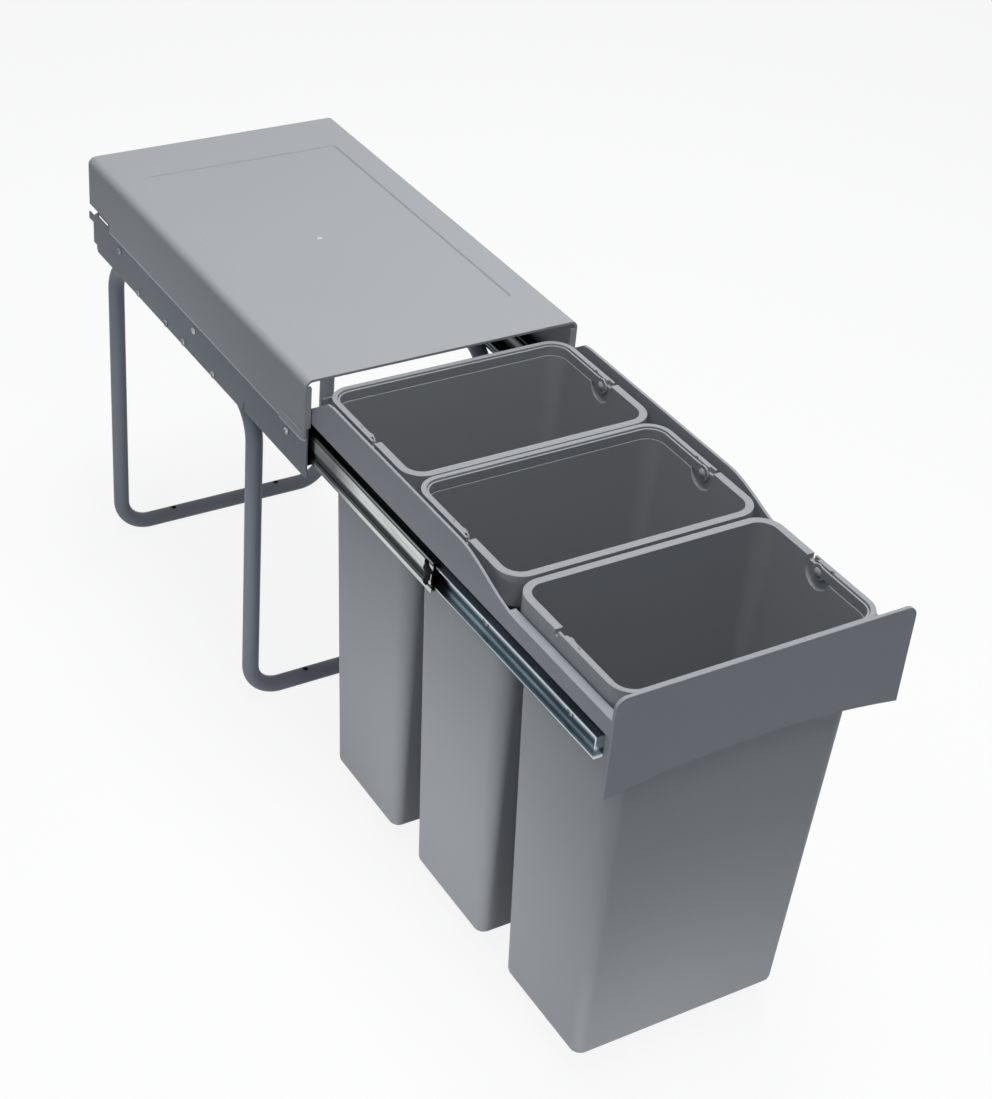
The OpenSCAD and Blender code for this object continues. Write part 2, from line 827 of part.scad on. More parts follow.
// Front panel: a thin plate with an arched lower edge
module front_panel() {
    arch_r = (panel_w * panel_w / 4 + panel_arch * panel_arch) / (2 * panel_arch);
    low_z = unit_h - panel_h;
    color(plastic_grey)
        difference() {
            along(carriage_front_y - panel_t, carriage_front_y)
                difference() {
                    union() {
                        box_2d([-panel_w / 2, low_z], [panel_w / 2, unit_h - panel_r]);
                        box_2d([-panel_w / 2 + panel_r, low_z], [panel_w / 2 - panel_r, unit_h]);
                        for (s = [-1, 1])
                            translate([s * (panel_w / 2 - panel_r), unit_h - panel_r])
                                circle(panel_r, $fn = round_fn);
                    }
                    translate([0, low_z + panel_arch - arch_r])
                        circle(arch_r, $fn = round_fn * 4);
                }
            for (p = panel_screw_places())
                translate([p[0], carriage_front_y - panel_screw_deep, p[1]])
                    rotate([-90, 0, 0])
                        cylinder(h = panel_screw_deep + over, r = screw_d / 2 + pin_fit, $fn = round_fn);
        }
}

// Bins: the handle lies in a pocket in the rear half of the rim
// A level slice of the body, inset from its size under the rim
module body_slice(z, inset, r)
    translate([0, 0, z])
        linear_extrude(height = skin)
            round_rect(body_w - 2 * inset, body_d - 2 * inset, max(r, bin_wall), $fn = blend_fn);

module body_form(wall) {
    r = max(bin_floor_r - wall, bin_wall);
    hull() {
        body_slice(wall > 0 ? over : -skin, wall, body_r - wall);
        for (k = [0:floor_steps])
            body_slice(-bin_h + wall + r * (1 - cos(90 * k / floor_steps)),
                       bin_draft + wall + r * (1 - sin(90 * k / floor_steps)),
                       bin_low_r - wall - r * (1 - sin(90 * k / floor_steps)));
    }
}

// Half of the bin, from its middle to the rear
module rear_half()
    translate([-bin_w, 0])
        square([2 * bin_w, bin_d]);

// Outline of the recess in a side wall for the handle's ear: round below, open above
module ear_outline(r, top) {
    intersection() {
        translate([0, -pivot_drop])
            circle(r, $fn = round_fn);
        box_2d([-r, -pivot_drop - r], [r, -pivot_drop]);
    }
    box_2d([-r, -pivot_drop], [r, top]);
}

module bin_shell() {
    opening_w = body_w - 2 * bin_wall;
    opening_d = body_d - 2 * bin_wall;
    rim_in_w = bin_w - 2 * rim_skirt_t;
    rim_in_d = bin_d - 2 * rim_skirt_t;
    boss_out = rim_in_w / 2;
    difference() {
        union() {
            body_form(0);
            // The flange and the skirt of the rim
            translate([0, 0, -rim_flange])
                linear_extrude(height = rim_flange)
                    round_rect(bin_w, bin_d, rim_r);
            translate([0, 0, -rim_skirt_h])
                linear_extrude(height = rim_skirt_h)
                    difference() {
                        round_rect(bin_w, bin_d, rim_r);
                        round_rect(rim_in_w, rim_in_d, rim_r - rim_skirt_t);
                    }
            // The collar round the handle's pocket
            translate([0, 0, -collar_h])
                linear_extrude(height = collar_h)
                    intersection() {
                        difference() {
                            round_rect(rim_in_w + skin, rim_in_d + skin, rim_r - rim_skirt_t);
                            round_rect(opening_w, opening_d, body_r - bin_wall);
                        }
                        rear_half();
                    }
            for (s = [-1, 1])
                on_side(s)
                    across(opening_w / 2, boss_out)
                        ear_outline(recess_r + boss_wall, 0);
        }
        body_form(bin_wall);
        // The pocket that the handle lies in
        translate([0, 0, -pocket_floor])
            linear_extrude(height = pocket_floor + over)
                intersection() {
                    round_rect(opening_w + 2 * pocket_t, opening_d + 2 * pocket_t,
                               body_r - bin_wall + pocket_t);
                    rear_half();
                }
        for (s = [-1, 1])
            on_side(s) {
                across(0, opening_w / 2 + pocket_t)
                    ear_outline(recess_r, over);
                // A slot through the rim where its closed half ends
                across(opening_w / 2, bin_w / 2 + over)
                    box_2d([-recess_r, -notch_drop], [-recess_r + notch_w, over]);
                // The rim is hollowed out beside the ear
                across(opening_w / 2, boss_out)
                    box_2d([-recess_r, -notch_drop], [-recess_r + hollow_len, over]);
                across(opening_w / 2, opening_w / 2 + pocket_t + hollow_deep)
                    box_2d([recess_r - notch_w, -notch_drop], [recess_r, over]);
                bar_x(0, boss_out + seat_gap, 0, -pivot_drop, pivot_d / 2 + pin_fit);
            }
    }
}

module bin_pivots() {
    ear_in = body_w / 2 - bin_wall + seat_gap;
    pin_len = bin_w / 2 - rim_skirt_t - ear_in;
    for (s = [-1, 1])
        on_side(s)
            translate([ear_in - seat_gap / 2, 0, -pivot_drop])
                rotate([0, 90, 0]) {
                    cylinder(h = pin_len, d = pivot_d, $fn = round_fn);
                    mirror([0, 0, 1])
                        rotate_extrude($fn = round_fn)
                            dome(pivot_head_d, pivot_head_h);
                }
}

// Bail handle: a strip on edge, bent to the shape of the rear half of the rim
module bail() {
    in_w = body_w - 2 * bin_wall + 2 * seat_gap;
    in_d = body_d - 2 * bin_wall + 2 * seat_gap;
    in_r = body_r - bin_wall + seat_gap;
    difference() {
        union() {
            translate([0, 0, -pivot_drop - bail_under])
                linear_extrude(height = bail_h)
                    intersection() {
                        difference() {
                            round_rect(in_w + 2 * bail_t, in_d + 2 * bail_t, in_r + bail_t);
                            round_rect(in_w, in_d, in_r);
                        }
                        rear_half();
                    }
            for (s = [-1, 1])
                on_side(s)
                    bar_x(in_w / 2, in_w / 2 + bail_t, 0, -pivot_drop, ear_r);
        }
        for (s = [-1, 1])
            on_side(s)
                bar_x(in_w / 2 - over, in_w / 2 + bail_t + over, 0, -pivot_drop, pivot_d / 2 + pin_fit);
    }
}

// Places of the three bins; the front one is turned round
module at_rear_bin()
    translate([0, rear_bin_y, rim_z])
        children();

module at_middle_bin()
    translate([0, middle_bin_y, rim_z])
        children();

module at_front_bin()
    translate([0, front_bin_y, rim_z])
        rotate([0, 0, 180])
            children();

rear_leg();
front_leg();
side_rail(-1);  // left_rail
side_rail(1);  // right_rail
cover();
outer_runner(-1);  // left_outer_runner
outer_runner(1);  // right_outer_runner
middle_runner(-1);  // left_middle_runner
middle_runner(1);  // right_middle_runner
inner_runner(-1);  // left_inner_runner
inner_runner(1);  // right_inner_runner
outer_cage(-1);  // left_outer_cage
outer_cage(1);  // right_outer_cage
inner_cage(-1);  // left_inner_cage
inner_cage(1);  // right_inner_cage
outer_balls(-1);  // left_outer_balls
outer_balls(1);  // right_outer_balls
inner_balls(-1);  // left_inner_balls
inner_balls(1);  // right_inner_balls
runner_stop(-1);  // left_runner_stop
runner_stop(1);  // right_runner_stop
rail_screws();
leg_screws();
runner_screws();
panel_screws();
carriage();
front_panel();
color(bin_grey) at_rear_bin() bin_shell();  // rear_bin
color(bin_grey) at_middle_bin() bin_shell();  // middle_bin
color(bin_grey) at_front_bin() bin_shell();  // front_bin
color(plastic_grey) at_rear_bin() bail();  // rear_handle
color(plastic_grey) at_middle_bin() bail();  // middle_handle
color(plastic_grey) at_front_bin() bail();  // front_handle
color(plastic_grey) at_rear_bin() bin_pivots();  // rear_bin_pivots
color(plastic_grey) at_middle_bin() bin_pivots();  // middle_bin_pivots
color(plastic_grey) at_front_bin() bin_pivots();  // front_bin_pivots
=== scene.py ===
import bpy
import math
from mathutils import Matrix, Vector


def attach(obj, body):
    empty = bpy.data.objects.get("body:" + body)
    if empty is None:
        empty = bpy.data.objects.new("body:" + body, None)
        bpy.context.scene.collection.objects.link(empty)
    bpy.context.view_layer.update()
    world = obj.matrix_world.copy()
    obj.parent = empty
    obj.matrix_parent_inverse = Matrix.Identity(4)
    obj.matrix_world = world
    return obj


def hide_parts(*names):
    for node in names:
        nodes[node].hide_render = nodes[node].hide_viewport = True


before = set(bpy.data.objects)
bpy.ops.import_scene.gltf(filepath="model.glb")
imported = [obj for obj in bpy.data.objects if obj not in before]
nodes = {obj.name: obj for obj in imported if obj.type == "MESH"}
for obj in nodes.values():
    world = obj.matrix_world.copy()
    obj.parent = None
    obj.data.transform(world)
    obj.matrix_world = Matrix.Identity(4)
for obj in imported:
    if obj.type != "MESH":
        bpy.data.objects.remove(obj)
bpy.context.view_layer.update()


# Studio floor and backdrop
# The unit stands on a white studio floor that runs far beyond the camera's view.
# The camera sees the floor nearly white, and it keeps the soft shadow under the unit.
FLOOR_SIDE = 14.0
FLOOR_ALBEDO = (0.58, 0.60, 0.63, 1)
WHITE = (1, 1, 1, 1)
SEEN_WHITE_SHARE = 0.88


def seen_rays(tree):
    """1 where a ray comes from the camera, a mirror or a clear piece, 0 for light between pieces."""
    rays = tree.nodes.new("ShaderNodeLightPath")
    camera_or_glossy = tree.nodes.new("ShaderNodeMath")
    camera_or_glossy.operation = "MAXIMUM"
    any_seen = tree.nodes.new("ShaderNodeMath")
    any_seen.operation = "MAXIMUM"
    tree.links.new(rays.outputs["Is Camera Ray"], camera_or_glossy.inputs[0])
    tree.links.new(rays.outputs["Is Glossy Ray"], camera_or_glossy.inputs[1])
    tree.links.new(camera_or_glossy.outputs[0], any_seen.inputs[0])
    tree.links.new(rays.outputs["Is Transmission Ray"], any_seen.inputs[1])
    return any_seen.outputs[0]


def ranged(tree, value, source, target=(0.0, 1.0)):
    """Maps a value from its source range to the target range."""
    node = tree.nodes.new("ShaderNodeMapRange")
    node.inputs["From Min"].default_value = source[0]
    node.inputs["From Max"].default_value = source[1]
    node.inputs["To Min"].default_value = target[0]
    node.inputs["To Max"].default_value = target[1]
    tree.links.new(value, node.inputs["Value"])
    return node.outputs["Result"]


bpy.ops.object.select_all(action="DESELECT")
bpy.ops.mesh.primitive_plane_add(size=FLOOR_SIDE, location=(0, 0, 0))
floor = bpy.context.object
floor.name = "studio_floor"
bpy.ops.object.mode_set(mode="EDIT")
bpy.ops.mesh.subdivide(number_cuts=3)
bpy.ops.object.mode_set(mode="OBJECT")

floor_white = bpy.data.materials.new("floor_white")
floor_white.use_nodes = True
tree = floor_white.node_tree
tree.nodes.clear()
output = tree.nodes.new("ShaderNodeOutputMaterial")
matt = tree.nodes.new("ShaderNodeBsdfDiffuse")
matt.inputs["Color"].default_value = FLOOR_ALBEDO
shadow_keeper = tree.nodes.new("ShaderNodeBsdfDiffuse")
shadow_keeper.inputs["Color"].default_value = WHITE
glow = tree.nodes.new("ShaderNodeEmission")
glow.inputs["Color"].default_value = WHITE
glow.inputs["Strength"].default_value = 1.0
seen_floor = tree.nodes.new("ShaderNodeMixShader")
seen_floor.inputs["Fac"].default_value = SEEN_WHITE_SHARE
blend = tree.nodes.new("ShaderNodeMixShader")
tree.links.new(shadow_keeper.outputs["BSDF"], seen_floor.inputs[1])
tree.links.new(glow.outputs["Emission"], seen_floor.inputs[2])
tree.links.new(seen_rays(tree), blend.inputs["Fac"])
tree.links.new(matt.outputs["BSDF"], blend.inputs[1])
tree.links.new(seen_floor.outputs["Shader"], blend.inputs[2])
tree.links.new(blend.outputs["Shader"], output.inputs["Surface"])
floor.data.materials.append(floor_white)

AMBIENT = 0.10
AIR_TINT = (0.70, 0.84, 1.0, 1)
world = bpy.data.worlds.new("studio_air")
bpy.context.scene.world = world
world.use_nodes = True
tree = world.node_tree
tree.nodes.clear()
output = tree.nodes.new("ShaderNodeOutputWorld")
air = tree.nodes.new("ShaderNodeBackground")
seen = seen_rays(tree)
level = ranged(tree, seen, (0.0, 1.0), (AMBIENT, 1.0))
tint = tree.nodes.new("ShaderNodeMix")
tint.data_type = "RGBA"
tint.inputs["A"].default_value = AIR_TINT
tint.inputs["B"].default_value = WHITE
tree.links.new(level, air.inputs["Strength"])
tree.links.new(seen, tint.inputs["Factor"])
tree.links.new(tint.outputs["Result"], air.inputs["Color"])
tree.links.new(air.outputs["Background"], output.inputs["Surface"])


# Studio lamps
# One soft box hangs above the unit; weaker ones hang to the left, in front and at the back.
# Four soft spots stand near the floor and fill the legs and the lower halves of the bins.
SPOT_RADIUS = 0.16


def aimed(lamp, place, aim):
    """Puts a lamp at place and turns it towards aim."""
    bpy.context.scene.collection.objects.link(lamp)
    lamp.location = place
    lamp.rotation_euler = (Vector(aim) - Vector(place)).to_track_quat("-Z", "Y").to_euler()


def soft_box(name, place, aim, side, power):
    """A square lamp at place, turned towards aim."""
    data = bpy.data.lights.new(name, "AREA")
    data.shape = "SQUARE"
    data.size = side
    data.energy = power
    aimed(bpy.data.objects.new(name, data), place, aim)


def soft_spot(name, place, aim, cone, power):
    """A round lamp at place whose pool fades out from its middle to its edge."""
    data = bpy.data.lights.new(name, "SPOT")
    data.spot_size = math.radians(cone)
    data.spot_blend = 1.0
    data.shadow_soft_size = SPOT_RADIUS
    data.energy = power
    aimed(bpy.data.objects.new(name, data), place, aim)


soft_box("over_box", (0.10, -0.30, 2.30), (0.0, -0.35, 0.30), 1.0, 29.5)
soft_box("back_box", (1.10, 0.90, 1.60), (0.0, -0.30, 0.25), 0.6, 4.0)
soft_box("left_box", (-1.20, -0.80, 2.20), (-0.10, -0.60, 0.30), 0.6, 6.4)
soft_box("front_box", (-0.20, -1.70, 2.20), (0.0, -0.60, 0.30), 0.6, 6.0)
soft_spot("left_spot", (-1.35, -0.74, 0.05), (-0.10, -0.66, 0.06), 42.0, 12.0)
soft_spot("rear_bin_spot", (-1.10, -0.46, 0.06), (-0.10, -0.43, 0.06), 31.0, 21.0)
soft_spot("leg_spot", (-1.20, -0.75, 0.04), (-0.12, 0.00, 0.09), 23.0, 42.0)
soft_spot("front_spot", (-0.35, -1.75, 0.30), (-0.03, -0.70, -0.16), 32.0, 38.0)


# Camera
# It stands to the left of the drawn-out front and looks down along the unit.
# Its place, turn and focal length are fitted, so that the unit's corners lie as in the photograph.
CAMERA_PLACE = (-0.8162, -1.5701, 1.2607)
CAMERA_YAW = 32.964
CAMERA_PITCH = -35.680
CAMERA_ROLL = 4.904
CAMERA_LENS = 71.91
CAMERA_SHIFT = (0.0328, 0.0460)
SENSOR_WIDTH = 36.0
CAMERA_REACH = (0.05, 60.0)

camera_data = bpy.data.cameras.new("photo_camera")
camera_data.lens = CAMERA_LENS
camera_data.sensor_width = SENSOR_WIDTH
camera_data.shift_x, camera_data.shift_y = CAMERA_SHIFT
camera_data.clip_start, camera_data.clip_end = CAMERA_REACH
camera = bpy.data.objects.new("photo_camera", camera_data)
bpy.context.scene.collection.objects.link(camera)
camera.matrix_world = (
    Matrix.Translation(CAMERA_PLACE)
    @ Matrix.Rotation(math.radians(-CAMERA_YAW), 4, "Z")
    @ Matrix.Rotation(math.radians(90 + CAMERA_PITCH), 4, "X")
    @ Matrix.Rotation(math.radians(CAMERA_ROLL), 4, "Z")
)
bpy.context.scene.camera = camera
bpy.context.scene.view_settings.view_transform = "Standard"


# Legs
# Each leg is one length of 15 mm steel tube, bent to a foot below and to a rail run above.
# It is powder coated in one go, so the coat has a fine orange peel and pools a little in the bends.
def surface_group(name, inputs, outputs):
    """An empty node group with float inputs and the outputs asked for."""
    group = bpy.data.node_groups.new(name, "ShaderNodeTree")
    for label, value in inputs:
        socket = group.interface.new_socket(label, in_out="INPUT", socket_type="NodeSocketFloat")
        socket.default_value = value
    for label in outputs:
        group.interface.new_socket(label, in_out="OUTPUT", socket_type="NodeSocketFloat")
    return group, group.nodes.new("NodeGroupInput"), group.nodes.new("NodeGroupOutput")


def noise(tree, vector, scale, detail=2.0, roughness=0.5):
    """A noise texture on the given coordinates."""
    texture = tree.nodes.new("ShaderNodeTexNoise")
    texture.inputs["Detail"].default_value = detail
    texture.inputs["Roughness"].default_value = roughness
    tree.links.new(vector, texture.inputs["Vector"])
    if isinstance(scale, float):
        texture.inputs["Scale"].default_value = scale
    else:
        tree.links.new(scale, texture.inputs["Scale"])
    return texture.outputs["Fac"]


# The skin of a coat or a moulding: a fine even grain, broad faint patches and thin scuffs
SCUFF_TURN = (0.3, 0.2, 0.7)
SCUFF_STRETCH = (18.0, 420.0, 160.0)
SCUFF_LIMITS = (0.62, 0.74)
NOISE_LIMITS = (0.3, 0.7)
GRAIN_STRENGTH = 0.6
skin, skin_in, skin_out = surface_group(
    "fine_skin", [("Grain per metre", 900.0), ("Patches per metre", 9.0)], ["Grain", "Patches", "Scuffs"])
skin_place = skin.nodes.new("ShaderNodeTexCoord").outputs["Object"]
grain = noise(skin, skin_place, skin_in.outputs["Grain per metre"], 3.0, 0.6)
patches = noise(skin, skin_place, skin_in.outputs["Patches per metre"], 4.0, 0.55)
scuff_turn = skin.nodes.new("ShaderNodeMapping")
scuff_turn.inputs["Rotation"].default_value = SCUFF_TURN
scuff_turn.inputs["Scale"].default_value = SCUFF_STRETCH
skin.links.new(skin_place, scuff_turn.inputs["Vector"])
scuffs = ranged(skin, noise(skin, scuff_turn.outputs["Vector"], 1.0, 3.0, 0.6), SCUFF_LIMITS)
skin.links.new(grain, skin_out.inputs["Grain"])
skin.links.new(patches, skin_out.inputs["Patches"])
skin.links.new(scuffs, skin_out.inputs["Scuffs"])


def skinned_material(name, dark, light, grain, patches, depth, rough, scuffs, sheen=0.22):
    """A satin coat or moulding: two close tones, a fine grain in the surface and faint scuffs."""
    material = bpy.data.materials.new(name)
    material.use_nodes = True
    tree = material.node_tree
    bsdf = tree.nodes["Principled BSDF"]
    bsdf.inputs["Specular IOR Level"].default_value = sheen
    surface = tree.nodes.new("ShaderNodeGroup")
    surface.node_tree = skin
    surface.inputs["Grain per metre"].default_value = grain
    surface.inputs["Patches per metre"].default_value = patches
    tones = tree.nodes.new("ShaderNodeMix")
    tones.data_type = "RGBA"
    tones.inputs["A"].default_value = dark
    tones.inputs["B"].default_value = light
    tree.links.new(surface.outputs["Patches"], tones.inputs["Factor"])
    tree.links.new(tones.outputs["Result"], bsdf.inputs["Base Color"])
    gloss = ranged(tree, surface.outputs["Patches"], NOISE_LIMITS, rough)
    rubbed = tree.nodes.new("ShaderNodeMath")
    rubbed.operation = "MULTIPLY_ADD"
    rubbed.inputs[1].default_value = -scuffs
    tree.links.new(surface.outputs["Scuffs"], rubbed.inputs[0])
    tree.links.new(gloss, rubbed.inputs[2])
    tree.links.new(rubbed.outputs[0], bsdf.inputs["Roughness"])
    bump = tree.nodes.new("ShaderNodeBump")
    bump.inputs["Distance"].default_value = depth
    bump.inputs["Strength"].default_value = GRAIN_STRENGTH
    tree.links.new(surface.outputs["Grain"], bump.inputs["Height"])
    tree.links.new(bump.outputs["Normal"], bsdf.inputs["Normal"])
    return material


def finish(piece, material):
    """Gives a piece or a carried-over node its one material."""
    piece.data.materials.clear()
    piece.data.materials.append(material)


TUBE_DARK = (0.205, 0.224, 0.258, 1)
TUBE_LIGHT = (0.229, 0.250, 0.287, 1)
tube_coat = skinned_material(
    "tube_coat", TUBE_DARK, TUBE_LIGHT, grain=420.0, patches=14.0, depth=0.00012,
    rough=(0.42, 0.50), scuffs=0.05)
for leg in ("rear_leg", "front_leg"):
    finish(nodes[leg], tube_coat)


# Side rails
# Pressed from 1.5 mm steel sheet, with a hook at the back and a set-in strip below.
# The edges are sheared and lightly rounded under the same powder coat as the legs; here that coat is painted
# darker, as painted shade.
MERGE = 0.00002
SHARP = math.radians(33)
SMOOTH = math.radians(38)
ROUND_STEPS = 3
# Faces less than this many degrees apart become one, on curved shapes and on plain ones
CURVED_FLAT = 0.02
PLAIN_FLAT = 0.3


def softened(node, name, radius, flat=CURVED_FLAT, shaped=None):
    """A merged copy of a node with its sharp edges rounded off; shaped moves a corner before that."""
    piece = bpy.data.objects.new(name, nodes[node].data.copy())
    bpy.context.scene.collection.objects.link(piece)
    bpy.ops.object.select_all(action="DESELECT")
    piece.select_set(True)
    bpy.context.view_layer.objects.active = piece
    bpy.ops.mesh.customdata_custom_splitnormals_clear()
    bpy.ops.object.mode_set(mode="EDIT")
    bpy.ops.mesh.select_all(action="SELECT")
    bpy.ops.mesh.remove_doubles(threshold=MERGE)
    bpy.ops.mesh.dissolve_limited(angle_limit=math.radians(flat))
    bpy.ops.object.mode_set(mode="OBJECT")
    if shaped is not None:
        for corner in piece.data.vertices:
            shaped(corner.co)
    rounding = piece.modifiers.new("rounding", "BEVEL")
    rounding.width = radius
    rounding.segments = ROUND_STEPS
    rounding.limit_method = "ANGLE"
    rounding.angle_limit = SHARP
    rounding.use_clamp_overlap = False
    rounding.miter_outer = "MITER_ARC"
    bpy.ops.object.modifier_apply(modifier=rounding.name)
    bpy.ops.object.shade_smooth_by_angle(angle=SMOOTH)
    levelling = piece.modifiers.new("levelling", "WEIGHTED_NORMAL")
    levelling.keep_sharp = True
    bpy.ops.object.modifier_apply(modifier=levelling.name)
    return piece


def stand_for(piece, node, body, material):
    """The piece rides on the node's body, hides the node and takes its finish."""
    finish(piece, material)
    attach(piece, body)
    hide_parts(node)


RAIL_EDGE = 0.0004
# The rails' tones are the legs' coat painted darker, as painted shade.
RAIL_DARK = (0.146, 0.166, 0.200, 1)
RAIL_LIGHT = (0.164, 0.186, 0.221, 1)
shaded_rail_coat = skinned_material(
    "shaded_rail_coat", RAIL_DARK, RAIL_LIGHT, grain=420.0, patches=11.0, depth=0.00010,
    rough=(0.38, 0.46), scuffs=0.06)
for side in ("left", "right"):
    rail = softened(side + "_rail", side + "_rail_pressing", RAIL_EDGE, flat=PLAIN_FLAT)
    stand_for(rail, side + "_rail", "frame_and_cover", shaded_rail_coat)


# Cover
# A moulded hood in silver-grey plastic with a shallow field in its top.
# The gate of the mould has left a small ring and nub in the middle of the field.
COVER_EDGE = 0.00045
FIELD_Z = 0.3956
FIELD_MID_Y = -0.041
FIELD_HALF_X = 0.097
FIELD_HALF_Y = 0.162
FIELD_SLOPE = 0.0011
SAME_HEIGHT = 0.0001
COVER_DARK = (0.360, 0.370, 0.388, 1)
COVER_LIGHT = (0.392, 0.402, 0.421, 1)
# A light tone painted along the skirt's lower edge is a painted highlight.
PAINTED_EDGE_HIGHLIGHT = (0.62, 0.63, 0.65, 1)
EDGE_TOP_Z = 0.3442
EDGE_FULL_Z = 0.3437
cover_plastic = skinned_material(
    "cover_plastic", COVER_DARK, COVER_LIGHT, grain=1300.0, patches=6.0, depth=0.00005, rough=(0.50, 0.58),
    scuffs=0.05)
# The cover's colour turns to that light tone at the foot of the skirt, as a painted highlight.
tree = cover_plastic.node_tree
edge_place = tree.nodes.new("ShaderNodeTexCoord")
edge_parts = tree.nodes.new("ShaderNodeSeparateXYZ")
edge_highlight_tone = tree.nodes.new("ShaderNodeMix")
edge_highlight_tone.data_type = "RGBA"
edge_highlight_tone.inputs["B"].default_value = PAINTED_EDGE_HIGHLIGHT
cover_shader = tree.nodes["Principled BSDF"]
tree.links.new(edge_place.outputs["Object"], edge_parts.inputs["Vector"])
edge_highlight_mask = ranged(tree, edge_parts.outputs["Z"], (EDGE_TOP_Z, EDGE_FULL_Z))
tree.links.new(edge_highlight_mask, edge_highlight_tone.inputs["Factor"])
tree.links.new(cover_shader.inputs["Base Color"].links[0].from_socket, edge_highlight_tone.inputs["A"])
tree.links.new(edge_highlight_tone.outputs["Result"], cover_shader.inputs["Base Color"])


def drafted(corner):
    """Draws the foot of the field's step inwards, so that the step slopes like the mould's."""
    if abs(corner.z - FIELD_Z) < SAME_HEIGHT:
        corner.x *= 1 - FIELD_SLOPE / FIELD_HALF_X
        corner.y = FIELD_MID_Y + (corner.y - FIELD_MID_Y) * (1 - FIELD_SLOPE / FIELD_HALF_Y)


hood = softened("cover", "cover_moulding", COVER_EDGE, flat=PLAIN_FLAT, shaped=drafted)
stand_for(hood, "cover", "frame_and_cover", cover_plastic)

POLE_MERGE = 0.000002


def turned(name, profile, steps):
    """A round piece about the X axis: a disc drawn out ring by ring through places along X and radii."""
    first_x, first_r = profile[0]
    bpy.ops.object.select_all(action="DESELECT")
    bpy.ops.mesh.primitive_circle_add(
        vertices=steps, radius=first_r, fill_type="NGON",
        location=(first_x, 0, 0), rotation=(0, math.pi / 2, 0))
    piece = bpy.context.object
    piece.name = name
    bpy.ops.object.transform_apply(location=True, rotation=True, scale=True)
    bpy.ops.object.mode_set(mode="EDIT")
    bpy.ops.mesh.select_all(action="SELECT")
    for (x, r), (next_x, next_r) in zip(profile, profile[1:]):
        bpy.ops.mesh.extrude_region_move(TRANSFORM_OT_translate={"value": (next_x - x, 0, 0)})
        bpy.ops.transform.resize(value=(1, next_r / r, next_r / r), center_override=(next_x, 0, 0))
    bpy.ops.mesh.select_all(action="SELECT")
    bpy.ops.mesh.remove_doubles(threshold=POLE_MERGE)
    bpy.ops.mesh.normals_make_consistent(inside=False)
    bpy.ops.object.mode_set(mode="OBJECT")
    bpy.ops.object.shade_smooth_by_angle(angle=SMOOTH)
    return piece


GATE_PLACE = (-0.0027, -0.0437, 0.3956)
GATE_STEPS = 40
# The nub's top, the groove round it and the ring: height and radius
GATE_PROFILE = (
    (0.00070, 0.0002), (0.00066, 0.0005), (0.00045, 0.0008), (0.00010, 0.0010), (0.00008, 0.0016),
    (0.00022, 0.0018), (0.00024, 0.0020), (0.00010, 0.0022), (-0.00020, 0.0023))
GATE_DARK = (0.62, 0.62, 0.64, 1)
GATE_LIGHT = (0.70, 0.70, 0.72, 1)
gate_mark = turned("cover_gate_mark", GATE_PROFILE, GATE_STEPS)
gate_mark.data.transform(Matrix.Translation(GATE_PLACE) @ Matrix.Rotation(-math.pi / 2, 4, "Y"))
gate_white = skinned_material(
    "gate_white", GATE_DARK, GATE_LIGHT, grain=2500.0, patches=200.0, depth=0.00003, rough=(0.40, 0.50),
    scuffs=0.05)
finish(gate_mark, gate_white)
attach(gate_mark, "frame_and_cover")


# Runners
# Rolled from bright zinc-plated strip: an outer, a middle and an inner channel on each side.
# Painted highlights, painted reflections and painted shade run in bands by height along the strip, with fine
# drawing marks.
RUNNER_AXIS_Z = 0.3345
BAND_HALF = 0.015
DRAWN_OUT = (1.0, 0.012, 1.0)
DRIFT_SCALE = (80.0, 9.0, 80.0)
strip, strip_in, strip_out = surface_group(
    "drawn_strip", [("Marks across", 900.0)], ["Marks", "Drift", "Height", "Along"])
strip_place = strip.nodes.new("ShaderNodeTexCoord").outputs["Object"]
along = strip.nodes.new("ShaderNodeMapping")
along.inputs["Scale"].default_value = DRAWN_OUT
strip.links.new(strip_place, along.inputs["Vector"])
marks = noise(strip, along.outputs["Vector"], strip_in.outputs["Marks across"], 4.0, 0.65)
cloud = strip.nodes.new("ShaderNodeMapping")
cloud.inputs["Scale"].default_value = DRIFT_SCALE
strip.links.new(strip_place, cloud.inputs["Vector"])
parts_of_place = strip.nodes.new("ShaderNodeSeparateXYZ")
strip.links.new(strip_place, parts_of_place.inputs["Vector"])
height = ranged(strip, parts_of_place.outputs["Z"], (RUNNER_AXIS_Z - BAND_HALF, RUNNER_AXIS_Z + BAND_HALF))
strip.links.new(marks, strip_out.inputs["Marks"])
strip.links.new(noise(strip, cloud.outputs["Vector"], 1.0, 3.0, 0.6), strip_out.inputs["Drift"])
strip.links.new(height, strip_out.inputs["Height"])
strip.links.new(parts_of_place.outputs["Y"], strip_out.inputs["Along"])


# The plating's tint at a glancing look, and how far noise and marks change it
GLANCING = (0.75, 0.77, 0.79, 1)
DRIFT_LIMITS = (0.32, 0.68)
STREAK_SHARE = (0.82, 1.12)
MARK_DEPTH = 0.00003
MARK_STRENGTH = 0.5


def multiplied(tree, first, second):
    """The product of two values."""
    node = tree.nodes.new("ShaderNodeMath")
    node.operation = "MULTIPLY"
    tree.links.new(first, node.inputs[0])
    tree.links.new(second, node.inputs[1])
    return node.outputs[0]


